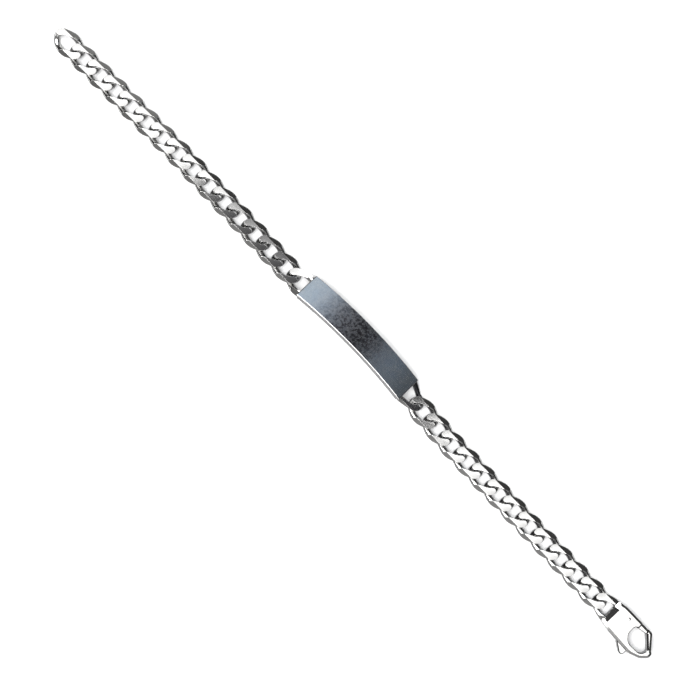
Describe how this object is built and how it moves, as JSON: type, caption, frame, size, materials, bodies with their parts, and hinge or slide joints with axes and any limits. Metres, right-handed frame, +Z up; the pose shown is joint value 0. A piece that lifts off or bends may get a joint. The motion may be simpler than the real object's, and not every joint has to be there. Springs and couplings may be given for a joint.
{
  "type": "id bracelet",
  "caption": "Identity bracelet laid out unfastened: filed curb chain, arched rectangular name plate with soldered bails, and a flat lobster clasp with a sprung lever.",
  "frame": {"origin": "middle of the laid-out bracelet's outline, at the height of the surface that it lies on", "axes": "+X along the chain towards the clasp, +Z up from the surface, +Y to the gate's side of the clasp"},
  "size_m": [0.2158, 0.0119, 0.0064],
  "materials": {
    "chain": "polished silver, filed flats and bevels",
    "plate": "polished silver, faintly rippled top",
    "clasp": "polished silver",
    "lever": "polished silver",
    "rivet": "polished silver"
  },
  "bodies": {
    "bracelet": {"link_01": "chain", "link_02": "chain", "link_03": "chain", "link_04": "chain", "link_05": "chain", "link_06": "chain", "link_07": "chain", "link_08": "chain", "link_09": "chain", "link_10": "chain", "link_11": "chain", "link_12": "chain", "link_13": "chain", "link_14": "chain", "link_15": "chain", "link_16": "chain", "link_17": "chain", "link_18": "chain", "link_19": "chain", "link_20": "chain", "link_21": "chain", "link_22": "chain", "link_23": "chain", "link_24": "chain", "link_25": "chain", "link_26": "chain", "link_27": "chain", "id_plate": "plate", "clasp_body": "clasp", "clasp_pin": "rivet"},
    "lever": {"clasp_lever": "lever"}
  },
  "joints": [
    {"name": "lever_pivot", "type": "hinge", "parent": "bracelet", "child": "lever", "pos_m": [0.09729, 0.0012, 0.0013], "axis": [0, 0, 1], "range_deg": [-20, 0], "stiffness_Nm_per_rad": 0.005, "springref_deg": 17.19}
  ]
}
